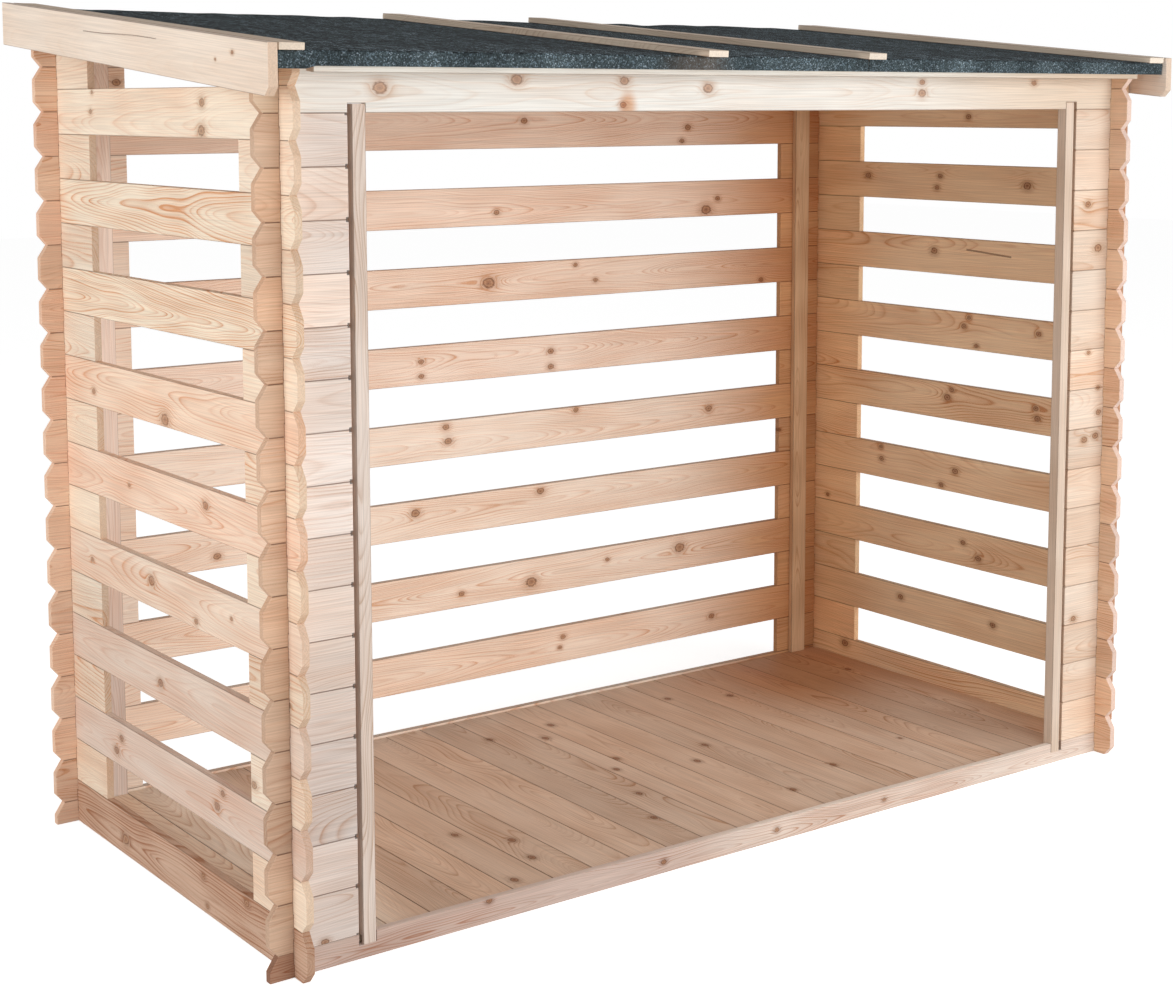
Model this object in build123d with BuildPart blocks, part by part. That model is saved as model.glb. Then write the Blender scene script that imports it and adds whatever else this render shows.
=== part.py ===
from build123d import *
import os
from math import atan2, cos, sin, tan

# An open log store: four walls of interlocking boards with open courses,
# a board floor on joists, and a felt roof that falls to the front.
# X runs along the length, Y from front to back, Z up from the ground.
# The origin is the middle of the walls' footprint, at ground level.

# Wall boards, which cross at the corners in notches of a quarter course
board_thickness = 16.0
course_height = 96.0
notch_clearance = 0.4
end_projection = 50.0
scallop_depth = 18.0
scallop_upper_height = 27.0
scallop_lower_height = 21.0

# Walls, outer face to outer face, with one open course between slats
wall_length = 2238.0
wall_depth = 1041.0
slat_count = 8

# Short blocks between the slats, measured from the crossing wall's inner face
front_block_reach = 121.0
side_front_block_reach = 146.0
side_rear_block_reach = 168.0
back_block_reach = 140.0
block_end_nick = 3.0

# Posts that close the front blocks' ends, let into the lintel and the sill
post_width = 28.0
post_depth = 25.0
post_gap = 9.0
post_clearance = 0.6
lintel_notch_depth = 17.0
sill_notch_depth = 22.0

# Battens inside the rear corners
corner_batten_width = 50.0
corner_batten_thickness = 13.0
corner_batten_offset = 47.0

# Floor: boards from front to back, a narrow one at the middle, on joists
floor_drop = 6.0
floor_board_thickness = 16.0
floor_boards_each_side = 11
centre_floor_board_width = 61.0
floor_joint = 0.8
floor_clearance = 0.8
joist_width = 45.0
joist_end_gap = 42.0
joist_count = 5

# Roof: boards from front to back, felt strips, battens and bargeboards
roof_board_thickness = 18.0
roof_board_count = 24
roof_joint = 0.6
roof_seat = 0.3
front_overhang = 90.0
rear_overhang = 90.0
side_overhang = 55.0
felt_thickness = 2.5
felt_drop = 27.0
felt_joint = 0.6
roof_batten_width = 50.0
roof_batten_thickness = 13.0
edge_batten_gap = 4.5
edge_batten_projection = 8.0
joint_batten_projection = 28.0
rear_batten_projection = 6.0
joint_batten_offset = 216.0
eaves_batten_height = 18.0
eaves_batten_depth = 28.0
eaves_batten_inset = 24.0
eaves_batten_setback = 4.0
bargeboard_thickness = 19.0
bargeboard_height = 90.5
bargeboard_projection = 15.0
bargeboard_rear_projection = 8.0
bargeboard_chamfer = 15.0
wedge_tip_height = 8.0

# Faces and levels that follow from these
half_length = wall_length / 2
half_depth = wall_depth / 2
inner_half_length = half_length - board_thickness
inner_half_depth = half_depth - board_thickness
half_course = course_height / 2
notch_depth = course_height / 4
notch_width = board_thickness + 2 * notch_clearance
sill_top = half_course
lintel_bottom = (2 * slat_count + 0.5) * course_height
lintel_top = lintel_bottom + course_height
back_top = lintel_top + course_height
floor_top = sill_top - floor_drop
joist_height = floor_top - floor_board_thickness
joist_spacing = 2 * (inner_half_depth - joist_end_gap - joist_width / 2) / (joist_count - 1)
post_inner_edge = inner_half_length - front_block_reach
post_centre = post_inner_edge - post_gap - post_width / 2

# The roof's underside passes over the lintel's front and the back wall's inner top edge
roof_slope = atan2(back_top - lintel_top, wall_depth - board_thickness)
roof_run = Vector(0, cos(roof_slope), sin(roof_slope))
roof_normal = Vector(0, -sin(roof_slope), cos(roof_slope))
roof_start = Vector(0, -half_depth, lintel_top + roof_seat)
roof_surface = Plane(origin=roof_start, x_dir=(1, 0, 0), z_dir=roof_normal)
roof_section = Plane(origin=roof_start, x_dir=roof_run, z_dir=(1, 0, 0))
wall_top_cut = Plane(origin=roof_start - Vector(0, 0, roof_seat), x_dir=(1, 0, 0), z_dir=roof_normal)
roof_front = -front_overhang / cos(roof_slope)
roof_rear = (wall_depth + rear_overhang) / cos(roof_slope)
roof_half_width = half_length + side_overhang
felt_top = roof_board_thickness + felt_thickness
batten_top = felt_top + roof_batten_thickness

# Outer faces of the walls, each seen with +Z up and the wall behind its face
front_face = Plane(origin=(0, -half_depth, 0), x_dir=(1, 0, 0), z_dir=(0, -1, 0))
back_face = Plane(origin=(0, inner_half_depth, 0), x_dir=(1, 0, 0), z_dir=(0, -1, 0))
left_face = Plane(origin=(-half_length, 0, 0), x_dir=(0, 1, 0), z_dir=(1, 0, 0))
right_face = Plane(origin=(inner_half_length, 0, 0), x_dir=(0, 1, 0), z_dir=(1, 0, 0))


def roof_height(y, above=0.0):
    """Height of the roof's underside at y, plus a distance square to the roof."""
    return lintel_top + roof_seat + (y + half_depth) * tan(roof_slope) + above / cos(roof_slope)


def cut_corner(u, z, along, up):
    """Cut a corner of the board being drawn, by these signed lengths."""
    Polygon((u, z), (u + along, z), (u, z + up), align=None, mode=Mode.SUBTRACT)


def scallop(u, bottom, top, inward, lower=True, upper=True):
    """Shape a projecting end, where inward is +1 or -1."""
    if lower:
        cut_corner(u, bottom, inward * scallop_depth, scallop_lower_height)
    if upper:
        cut_corner(u, top, inward * scallop_depth, -scallop_upper_height)


def notch(u, z):
    """Take a crossing notch of a quarter course out of an edge at height z."""
    with Locations((u, z)):
        Rectangle(notch_width, 2 * notch_depth, mode=Mode.SUBTRACT)


def long_board(half_wall, bottom, height, lower=True):
    """Draw a board that runs past both crossing walls."""
    end = half_wall + end_projection
    crossing = half_wall - board_thickness / 2
    with Locations((0, bottom + height / 2)):
        Rectangle(2 * end, height)
    for side in (-1, 1):
        scallop(side * end, bottom, bottom + height, -side, lower=lower)
        notch(side * crossing, bottom + height)
        if lower:
            notch(side * crossing, bottom)


def short_block(half_wall, reach, side, bottom, height=course_height, upper=True, nick=0.0):
    """Draw a block at one end of a wall, from its projecting end to its reach inside."""
    end = half_wall + end_projection
    crossing = half_wall - board_thickness / 2
    inner = half_wall - board_thickness - reach
    with Locations((side * (end + inner) / 2, bottom + height / 2)):
        Rectangle(end - inner, height)
    scallop(side * end, bottom, bottom + height, -side, upper=upper)
    notch(side * crossing, bottom)
    if upper:
        notch(side * crossing, bottom + height)
    if nick:
        cut_corner(side * inner, bottom, side * nick, nick)
        cut_corner(side * inner, bottom + height, side * nick, -nick)


def post_notches(z, depth):
    """Take the two posts' notches out of an edge at height z."""
    outer = post_inner_edge
    inner = post_centre - post_width / 2 - post_clearance
    with Locations(((outer + inner) / 2, z), (-(outer + inner) / 2, z)):
        Rectangle(outer - inner, 2 * depth, mode=Mode.SUBTRACT)


def save(piece, name):
    piece.part.label = name
    export_step(piece.part, f"parts/{name}.step")


os.makedirs("parts", exist_ok=True)
slat_levels = [2 * n * course_height for n in range(1, slat_count + 1)]
gap_levels = [z - course_height for z in slat_levels]
back_gap_levels = [half_course + 2 * n * course_height for n in range(slat_count + 1)]

# Front wall: sill, lintel, stacked blocks and the two posts
with BuildPart() as front_sill:
    with BuildSketch(front_face):
        long_board(half_length, 0, half_course, lower=False)
        post_notches(sill_top, sill_notch_depth)
    extrude(amount=-board_thickness)
save(front_sill, "front_sill")

with BuildPart() as front_lintel:
    with BuildSketch(front_face):
        long_board(half_length, lintel_bottom, course_height)
        post_notches(lintel_bottom, lintel_notch_depth)
    extrude(amount=-board_thickness)
save(front_lintel, "front_lintel")

for side_name, side in (("left", -1), ("right", 1)):
    for set_name, first in (("odd", 0), ("even", 1)):
        with BuildPart() as front_blocks:
            with BuildSketch(front_face):
                for n in range(first, 2 * slat_count, 2):
                    level = sill_top + n * course_height
                    short_block(half_length, front_block_reach, side, level, nick=block_end_nick)
            extrude(amount=-board_thickness)
        save(front_blocks, f"front_{side_name}_blocks_{set_name}")

    with BuildPart() as front_post:
        post_foot = sill_top - sill_notch_depth
        post_head = lintel_bottom + lintel_notch_depth - post_clearance
        with BuildSketch(Plane.XY.offset(post_foot)):
            with Locations((side * post_centre, -half_depth + post_depth / 2)):
                Rectangle(post_width, post_depth)
        extrude(amount=post_head - post_foot)
        with BuildSketch(Plane.XY.offset(post_foot)):
            with Locations((side * post_centre, -inner_half_depth)):
                Rectangle(post_width, 2 * (post_depth - board_thickness))
        extrude(amount=floor_top - post_foot, mode=Mode.SUBTRACT)
    save(front_post, f"{side_name}_front_post")

# Back wall, one course higher than the front
with BuildPart() as back_sill:
    with BuildSketch(back_face):
        long_board(half_length, 0, half_course, lower=False)
    extrude(amount=-board_thickness)
save(back_sill, "back_sill")

with BuildPart() as back_wall_slats:
    with BuildSketch(back_face):
        for level in slat_levels:
            long_board(half_length, level - half_course, course_height)
    extrude(amount=-board_thickness)
save(back_wall_slats, "back_wall_slats")

with BuildPart() as back_top_board:
    with BuildSketch(back_face):
        long_board(half_length, back_top - course_height, course_height)
    extrude(amount=-board_thickness)
save(back_top_board, "back_top_board")

for side_name, side in (("left", -1), ("right", 1)):
    with BuildPart() as back_blocks:
        with BuildSketch(back_face):
            for level in back_gap_levels:
                short_block(half_length, back_block_reach, side, level)
        extrude(amount=-board_thickness)
    save(back_blocks, f"back_wall_{side_name}_blocks")

    with BuildPart() as corner_batten:
        batten_x = side * (inner_half_length - corner_batten_offset - corner_batten_width / 2)
        batten_front = inner_half_depth - corner_batten_thickness
        with BuildSketch(Plane.XY.offset(floor_top)):
            with Locations((batten_x, inner_half_depth - corner_batten_thickness / 2)):
                Rectangle(corner_batten_width, corner_batten_thickness)
        extrude(amount=roof_height(batten_front) - roof_seat - floor_top)
    save(corner_batten, f"{side_name}_corner_batten")

# Side walls, with their top pieces cut to the roof's slope
for side_name, face in (("left", left_face), ("right", right_face)):
    with BuildPart() as base_board:
        with BuildSketch(face):
            long_board(half_depth, 0, course_height)
        extrude(amount=board_thickness)
    save(base_board, f"{side_name}_base_board")

    with BuildPart() as side_slats:
        with BuildSketch(face):
            for level in slat_levels:
                long_board(half_depth, level, course_height)
        extrude(amount=board_thickness)
    save(side_slats, f"{side_name}_wall_slats")

    with BuildPart() as side_front_blocks:
        with BuildSketch(face):
            for level in gap_levels:
                short_block(half_depth, side_front_block_reach, -1, level)
            short_block(half_depth, side_front_block_reach, -1, lintel_top - half_course, upper=False)
        extrude(amount=board_thickness)
        split(bisect_by=wall_top_cut, keep=Keep.BOTTOM)
    save(side_front_blocks, f"{side_name}_wall_front_blocks")

    with BuildPart() as side_rear_blocks:
        with BuildSketch(face):
            for level in gap_levels + [lintel_top - half_course]:
                short_block(half_depth, side_rear_block_reach, 1, level)
        extrude(amount=board_thickness)
    save(side_rear_blocks, f"{side_name}_wall_rear_blocks")

    with BuildPart() as roof_wedge:
        wedge_bottom = back_top - half_course
        tip_run = (wedge_bottom + wedge_tip_height - lintel_top) / tan(roof_slope)
        wedge_reach = inner_half_depth + half_depth - tip_run
        with BuildSketch(face):
            short_block(half_depth, wedge_reach, 1, wedge_bottom, upper=False)
        extrude(amount=board_thickness)
        split(bisect_by=wall_top_cut, keep=Keep.BOTTOM)
    save(roof_wedge, f"{side_name}_wall_top_wedge")

# Floor: joists on the ground and boards on the joists
with BuildPart() as floor_joists:
    with BuildSketch(Plane.XY):
        with GridLocations(0, joist_spacing, 1, joist_count):
            Rectangle(2 * (inner_half_length - floor_clearance), joist_width)
    extrude(amount=joist_height)
save(floor_joists, "floor_joists")

floor_half_length = inner_half_length - floor_clearance
floor_board_pitch = (floor_half_length - centre_floor_board_width / 2) / floor_boards_each_side
floor_joints = [centre_floor_board_width / 2 + n * floor_board_pitch for n in range(floor_boards_each_side + 1)]
floor_edges = [-x for x in reversed(floor_joints)] + floor_joints
for set_name, first in (("odd", 0), ("even", 1)):
    with BuildPart() as floor_boards:
        with BuildSketch(Plane.XY.offset(joist_height)):
            for n in range(first, len(floor_edges) - 1, 2):
                with Locations(((floor_edges[n] + floor_edges[n + 1]) / 2, 0)):
                    board_width = floor_edges[n + 1] - floor_edges[n] - floor_joint
                    Rectangle(board_width, 2 * (inner_half_depth - floor_clearance))
        extrude(amount=floor_board_thickness)
    save(floor_boards, f"floor_boards_{set_name}")

# Roof boards, and a batten under them along each eaves
roof_board_pitch = 2 * roof_half_width / roof_board_count
for set_name, first in (("odd", 0), ("even", 1)):
    with BuildPart() as roof_boards:
        with BuildSketch(roof_surface):
            for n in range(first, roof_board_count, 2):
                board_x = -roof_half_width + (n + 0.5) * roof_board_pitch
                with Locations((board_x, (roof_front + roof_rear) / 2)):
                    Rectangle(roof_board_pitch - roof_joint, roof_rear - roof_front)
        extrude(amount=roof_board_thickness)
    save(roof_boards, f"roof_boards_{set_name}")

eaves_offset = eaves_batten_setback + eaves_batten_depth / 2
for end_name, eaves_y in (("front", roof_front + eaves_offset), ("rear", roof_rear - eaves_offset)):
    with BuildPart() as eaves_batten:
        with BuildSketch(roof_surface):
            with Locations((0, eaves_y)):
                Rectangle(2 * (half_length - eaves_batten_inset), eaves_batten_depth)
        extrude(amount=-eaves_batten_height)
    save(eaves_batten, f"{end_name}_eaves_batten")

# Felt in three strips, folded down over both eaves, meeting under the joint battens
felt_edges = [-roof_half_width, -joint_batten_offset, joint_batten_offset, roof_half_width]
for strip_name, start, end in zip(("left", "middle", "right"), felt_edges[:-1], felt_edges[1:]):
    with BuildPart() as felt:
        with BuildSketch(roof_section.offset(start + felt_joint / 2)):
            front_fold = roof_front - felt_thickness
            rear_fold = roof_rear + felt_thickness
            with Locations(((front_fold + rear_fold) / 2, felt_top - felt_drop / 2)):
                Rectangle(rear_fold - front_fold, felt_drop)
            inner_drop = felt_drop - felt_thickness
            with Locations(((roof_front + roof_rear) / 2, roof_board_thickness - inner_drop / 2)):
                Rectangle(roof_rear - roof_front, inner_drop, mode=Mode.SUBTRACT)
        extrude(amount=end - start - felt_joint)
    save(felt, f"{strip_name}_roof_felt")

# Battens that hold the felt down, along both edges and over both joints
edge_batten_x = roof_half_width - edge_batten_gap - roof_batten_width / 2
batten_rows = (
    ("left_edge", -edge_batten_x, edge_batten_projection),
    ("left_joint", -joint_batten_offset, joint_batten_projection),
    ("right_joint", joint_batten_offset, joint_batten_projection),
    ("right_edge", edge_batten_x, edge_batten_projection),
)
for row_name, batten_x, projection in batten_rows:
    with BuildPart() as roof_batten:
        batten_start = roof_front - projection
        batten_end = roof_rear + rear_batten_projection
        with BuildSketch(roof_surface.offset(felt_top)):
            with Locations((batten_x, (batten_start + batten_end) / 2)):
                Rectangle(roof_batten_width, batten_end - batten_start)
        extrude(amount=roof_batten_thickness)
    save(roof_batten, f"{row_name}_roof_batten")

# Bargeboards, plumb at both ends, with their tops level with the battens' tops
barge_front = -half_depth - front_overhang - bargeboard_projection
barge_rear = half_depth + rear_overhang + bargeboard_rear_projection
for side_name, inner_x, outward in (("left", -roof_half_width, -1), ("right", roof_half_width, 1)):
    with BuildPart() as bargeboard:
        with BuildSketch(Plane(origin=(inner_x, 0, 0), x_dir=(0, 1, 0), z_dir=(1, 0, 0))):
            with BuildLine():
                barge_bottom = batten_top - bargeboard_height
                Polyline(
                    (barge_front, roof_height(barge_front, batten_top)),
                    (barge_rear, roof_height(barge_rear, batten_top)),
                    (barge_rear, roof_height(barge_rear, barge_bottom)),
                    (barge_front + bargeboard_chamfer, roof_height(barge_front, barge_bottom)),
                    (barge_front, roof_height(barge_front, barge_bottom) + bargeboard_chamfer),
                    close=True,
                )
            make_face()
        extrude(amount=outward * bargeboard_thickness)
    save(bargeboard, f"{side_name}_bargeboard")
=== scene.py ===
import bpy
import math
import random
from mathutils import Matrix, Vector


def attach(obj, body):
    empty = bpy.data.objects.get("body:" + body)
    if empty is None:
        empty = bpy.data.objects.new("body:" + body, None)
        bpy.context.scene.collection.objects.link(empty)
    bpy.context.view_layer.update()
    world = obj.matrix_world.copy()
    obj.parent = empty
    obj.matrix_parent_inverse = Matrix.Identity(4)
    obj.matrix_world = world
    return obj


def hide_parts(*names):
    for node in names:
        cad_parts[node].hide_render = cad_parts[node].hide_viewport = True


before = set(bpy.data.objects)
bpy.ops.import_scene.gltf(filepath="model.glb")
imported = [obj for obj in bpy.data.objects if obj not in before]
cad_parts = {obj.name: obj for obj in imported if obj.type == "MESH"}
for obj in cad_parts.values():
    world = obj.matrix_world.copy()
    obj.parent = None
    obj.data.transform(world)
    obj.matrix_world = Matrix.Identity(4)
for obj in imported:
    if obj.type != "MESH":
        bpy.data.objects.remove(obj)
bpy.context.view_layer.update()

# A log store of planed spruce boards with a mineral felt roof.
# Lengths are in metres unless a name ends in mm.

# The roof's fall, from the upright front end to the back of the walls
ROOF_SLOPE = math.atan2(0.096, 1.025)
ROOF_RUN = Vector((0, math.cos(ROOF_SLOPE), math.sin(ROOF_SLOPE)))
ROOF_UP = Vector((0, -math.sin(ROOF_SLOPE), math.cos(ROOF_SLOPE)))
X, Y, Z = Vector((1, 0, 0)), Vector((0, 1, 0)), Vector((0, 0, 1))


# ---------------------------------------------------------------- materials


def linear(shade):
    """The linear colour of an sRGB hex value."""
    parts = [int(shade[i:i + 2], 16) / 255 for i in (1, 3, 5)]
    bright = [c / 12.92 if c <= 0.04045 else ((c + 0.055) / 1.055) ** 2.4 for c in parts]
    return tuple(bright) + (1.0,)


def add(tree, kind, inputs=(), **settings):
    """Adds a node with its settings; each input is a value or another node's output."""
    node = tree.nodes.new("ShaderNode" + kind)
    for name, value in settings.items():
        setattr(node, name, value)
    for socket, value in dict(inputs).items():
        if isinstance(value, bpy.types.NodeSocket):
            tree.links.new(value, node.inputs[socket])
        else:
            node.inputs[socket].default_value = value
    return node


def new_material(name, roughness):
    material = bpy.data.materials.new(name)
    material.use_nodes = True
    shader = material.node_tree.nodes["Principled BSDF"]
    shader.inputs["Roughness"].default_value = roughness
    shader.inputs["Specular IOR Level"].default_value = 0.2
    return material, material.node_tree, shader


# The most knots that one board can have, each with its own attribute
KNOT_LANES = tuple(f"knot_{lane}" for lane in range(1, 9))

# The wood: noise cells a metre along the grain, across it and into the board
RAGGED_CELLS = (120, 260, 260)
WANDER_CELLS = (3.0, 9.0, 9.0)
CLOUD_CELLS = (4, 14, 14)
FIBRE_CELLS = (6, 420, 420)
# a knot is longer along the grain, and the lines close up again beside it
KNOT_SHAPE = (0.72, 1, 0)
LINES_CLOSE_UP = -2.2
# how far knots, slow bends and wide years shift the rings
KNOT_SWELL = 1.3
RING_WANDER = 0.055
YEAR_DRIFT = 1.3
# the narrowest and widest rings, as shares of ring_mm, in metres
RING_NARROW, RING_WIDE = 0.00075, 0.00135
PLANED_ROUGHNESS = 0.62
# where the ends past a crossing wall start, and where their painted shade is full
STUB_START, STUB_FULL = 1.112, 1.116
# the stacks' joints lie two halves of a course apart, with painted shadow in the notches this far
# around them
HALF_COURSE = 0.048
NOTCH_SHADOW_REACH = 0.0045
NOTCH_SHADOW_SHARE = 0.8
CRACK_WANDER = 0.012
CRACK_SHARE = 0.75


def spruce(name, early, late, deep, ring_mm=4.6, figure=0.75, lanes=2, end_share=0.42,
           end_shade=None, knot_share=0.88, painted_top_share=0.0, painted_top_tone="#7A5F4A",
           stub_painted_shade=None, stains_and_painted_light=(), crack=None, notch_shadow_within=0.0, joint_dirt=0.56):
    """Planed spruce. Pale early wood and pink-brown late wood make lines along the
    board, arches where the cut leaves the rings' direction, and arcs on a sawn end.
    The lines part round each knot. Every board has its own pith, which sets its figure,
    and its own tone."""
    material, tree, shader = new_material(name, PLANED_ROUGHNESS)
    place = add(tree, "Attribute", attribute_name="grain").outputs["Vector"]
    board = add(tree, "Attribute", attribute_name="board").outputs["Fac"]
    end = add(tree, "Attribute", attribute_name="sawn_end").outputs["Fac"]
    joint = add(tree, "Attribute", attribute_name="eased_edge").outputs["Fac"]
    pith = add(tree, "Attribute", attribute_name="pith").outputs["Vector"]
    pith = add(tree, "SeparateXYZ", {0: pith}).outputs
    strong = add(tree, "Attribute", attribute_name="strong_figure").outputs["Fac"]
    tint = add(tree, "TexWhiteNoise", {"W": board}, noise_dimensions="1D")
    tint = add(tree, "SeparateXYZ", {0: tint.outputs["Color"]}).outputs
    apart = add(tree, "CombineXYZ", {0: board, 1: tint[0], 2: tint[1]}).outputs[0]

    # knots: the distance to the nearest, and how far the lines are pushed aside
    ragged = add(tree, "VectorMath", {0: place, 1: RAGGED_CELLS}, operation="MULTIPLY").outputs[0]
    ragged = add(tree, "TexNoise", {"Vector": ragged, "Scale": 1.0, "Detail": 1.0}).outputs["Fac"]
    nearest, push, swell = None, None, None
    for lane in KNOT_LANES[:lanes]:
        knot = add(tree, "Attribute", attribute_name=lane).outputs["Vector"]
        radius = add(tree, "SeparateXYZ", {0: knot}).outputs[2]
        away = add(tree, "VectorMath", {0: place, 1: knot}, operation="SUBTRACT").outputs[0]
        away = add(tree, "VectorMath", {0: away, 1: KNOT_SHAPE}, operation="MULTIPLY").outputs[0]
        scale = add(tree, "Math", {0: 1.0, 1: radius}, operation="DIVIDE").outputs[0]
        away = add(tree, "VectorMath", {0: away, "Scale": scale}, operation="SCALE").outputs[0]
        far = add(tree, "VectorMath", {0: away}, operation="LENGTH").outputs["Value"]
        aside = add(tree, "SeparateXYZ", {0: away}).outputs[1]
        fade = add(tree, "Math", {0: far, 1: 1.0}, operation="MAXIMUM").outputs[0]
        fade = add(tree, "Math", {0: fade, 1: LINES_CLOSE_UP}, operation="POWER").outputs[0]
        aside = add(tree, "Math", {0: aside, 1: radius}, operation="MULTIPLY").outputs[0]
        aside = add(tree, "Math", {0: aside, 1: fade}, operation="MULTIPLY").outputs[0]
        bulge = add(tree, "Math", {0: fade, 1: radius}, operation="MULTIPLY").outputs[0]
        if nearest is None:
            nearest, push, swell = far, aside, bulge
            continue
        swell = add(tree, "Math", {0: swell, 1: bulge}, operation="ADD").outputs[0]
        push = add(tree, "Math", {0: push, 1: aside}, operation="ADD").outputs[0]
        nearest = add(tree, "Math", {0: nearest, 1: far}, operation="MINIMUM").outputs[0]

    # the tree's rings, cut by the board: distance from a pith below the face
    wander = add(tree, "VectorMath", {0: place, 1: WANDER_CELLS}, operation="MULTIPLY").outputs[0]
    wander = add(tree, "VectorMath", {0: wander, 1: apart}, operation="ADD").outputs[0]
    wander = add(tree, "TexNoise", {"Vector": wander, "Scale": 1.0, "Detail": 1.0}).outputs["Fac"]
    wander = add(tree, "Math", {0: wander, 1: 0.5}, operation="SUBTRACT").outputs[0]
    axes = add(tree, "SeparateXYZ", {0: place}).outputs
    across = add(tree, "Math", {0: axes[1], 1: push}, operation="SUBTRACT").outputs[0]
    across = add(tree, "Math", {0: across, 1: pith[0]}, operation="SUBTRACT").outputs[0]
    depth = add(tree, "Math", {0: axes[2], 1: pith[1]}, operation="ADD").outputs[0]
    ring = add(tree, "CombineXYZ", {0: across, 1: depth}).outputs[0]
    ring = add(tree, "VectorMath", {0: ring}, operation="LENGTH").outputs["Value"]
    ring = add(tree, "Math", {0: axes[0], 1: pith[2], 2: ring}, operation="MULTIPLY_ADD").outputs[0]
    ring = add(tree, "Math", {0: wander, 1: RING_WANDER, 2: ring}, operation="MULTIPLY_ADD").outputs[0]
    ring = add(tree, "Math", {0: swell, 1: KNOT_SWELL, 2: ring}, operation="MULTIPLY_ADD").outputs[0]
    spacing = add(tree, "MapRange", {"Value": tint[0], "To Min": ring_mm * RING_NARROW,
                                     "To Max": ring_mm * RING_WIDE}).outputs[0]
    ring = add(tree, "Math", {0: ring, 1: spacing}, operation="DIVIDE").outputs[0]
    # wide and narrow years, dark and faint ones
    years = add(tree, "Math", {0: ring, 1: 0.35, 2: board}, operation="MULTIPLY_ADD").outputs[0]
    years = add(tree, "TexNoise", {"W": years, "Scale": 1.0, "Detail": 0.0},
                noise_dimensions="1D").outputs["Fac"]
    ring = add(tree, "Math", {0: years, 1: YEAR_DRIFT, 2: ring}, operation="MULTIPLY_ADD").outputs[0]
    year = add(tree, "Math", {0: ring}, operation="FLOOR").outputs[0]
    year = add(tree, "TexWhiteNoise", {"W": year}, noise_dimensions="1D").outputs["Value"]
    year = add(tree, "MapRange", {"Value": year, "To Min": 0.35, "To Max": 1.25}).outputs[0]
    ring = add(tree, "Math", {0: ring, 1: 1.0}, operation="FLOORED_MODULO").outputs[0]
    line = add(tree, "ValToRGB", {0: ring})
    first, second = line.color_ramp.elements
    first.position, first.color = 0.0, (0.35, 0.35, 0.35, 1)
    second.position, second.color = 0.12, (0, 0, 0, 1)
    for position, grey in ((0.5, 0.06), (0.76, 0.4), (0.93, 1.0), (1.0, 0.5)):
        line.color_ramp.elements.new(position).color = (grey, grey, grey, 1)
    near_knot = add(tree, "MapRange", {"Value": nearest, "From Min": 1.0, "From Max": 3.8,
                                       "To Min": 0.9, "To Max": 0.0}).outputs[0]
    strength = add(tree, "Math", {0: strong, 1: figure, 2: near_knot},
                   operation="MULTIPLY_ADD").outputs[0]
    cloud = add(tree, "VectorMath", {0: place, 1: CLOUD_CELLS}, operation="MULTIPLY").outputs[0]
    cloud = add(tree, "VectorMath", {0: cloud, 1: apart}, operation="ADD").outputs[0]
    cloud = add(tree, "TexNoise", {"Vector": cloud, "Scale": 1.0, "Detail": 1.0}).outputs["Fac"]
    fading = add(tree, "MapRange", {"Value": cloud, "From Min": 0.3, "From Max": 0.65,
                                    "To Min": 0.3, "To Max": 1.15}).outputs[0]
    late_share = add(tree, "Math", {0: line.outputs[0], 1: strength},
                     operation="MULTIPLY").outputs[0]
    late_share = add(tree, "Math", {0: late_share, 1: fading}, operation="MULTIPLY").outputs[0]
    late_share = add(tree, "Math", {0: late_share, 1: year}, operation="MULTIPLY").outputs[0]

    # fibres, a few tenths of a millimetre in the wood, drawn 2 mm wide to show
    fibre = add(tree, "VectorMath", {0: place, 1: FIBRE_CELLS}, operation="MULTIPLY").outputs[0]
    fibre = add(tree, "VectorMath", {0: fibre, 1: apart}, operation="ADD").outputs[0]
    fibre = add(tree, "TexNoise", {"Vector": fibre, "Scale": 1.0, "Detail": 1.0}).outputs["Fac"]
    colour = add(tree, "Mix", {0: late_share, 6: linear(early), 7: linear(late)},
                 data_type="RGBA").outputs[2]
    warm = add(tree, "MapRange", {"Value": cloud, "From Min": 0.4, "From Max": 0.75,
                                  "To Max": 0.32}).outputs[0]
    colour = add(tree, "Mix", {0: warm, 6: colour, 7: linear(late)}, data_type="RGBA").outputs[2]
    cut = add(tree, "Math", {0: end, 1: end_share}, operation="MULTIPLY").outputs[0]
    colour = add(tree, "Mix", {0: cut, 6: colour, 7: linear(end_shade or deep)},
                 data_type="RGBA").outputs[2]

    # knots: a halo, a dark bark ring with a ragged edge, and a brown heart
    nearest = add(tree, "Math", {0: ragged, 1: 0.6, 2: nearest},
                  operation="MULTIPLY_ADD").outputs[0]
    nearest = add(tree, "Math", {0: nearest, 1: 0.3}, operation="SUBTRACT").outputs[0]
    halo = add(tree, "MapRange", {"Value": nearest, "From Min": 0.8, "From Max": 2.8,
                                  "To Min": 0.42, "To Max": 0.0},
               interpolation_type="SMOOTHSTEP").outputs[0]
    colour = add(tree, "Mix", {0: halo, 6: colour, 7: linear(deep)}, data_type="RGBA").outputs[2]
    heart = add(tree, "ValToRGB", {0: nearest})
    first, second = heart.color_ramp.elements
    first.position, first.color = 0.0, linear("#70452F")
    second.position, second.color = 0.24, linear("#A87A5C")
    for position, shade in ((0.4, "#A47657"), (0.55, "#C19877"), (0.7, "#AE8262"),
                            (0.87, "#6B452F"), (1.0, "#A57A5C")):
        heart.color_ramp.elements.new(position).color = linear(shade)
    is_knot = add(tree, "MapRange", {"Value": nearest, "From Min": 0.88, "From Max": 1.15,
                                     "To Min": knot_share, "To Max": 0.0}).outputs[0]
    colour = add(tree, "Mix", {0: is_knot, 6: colour, 7: heart.outputs[0]},
                 data_type="RGBA").outputs[2]

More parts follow.
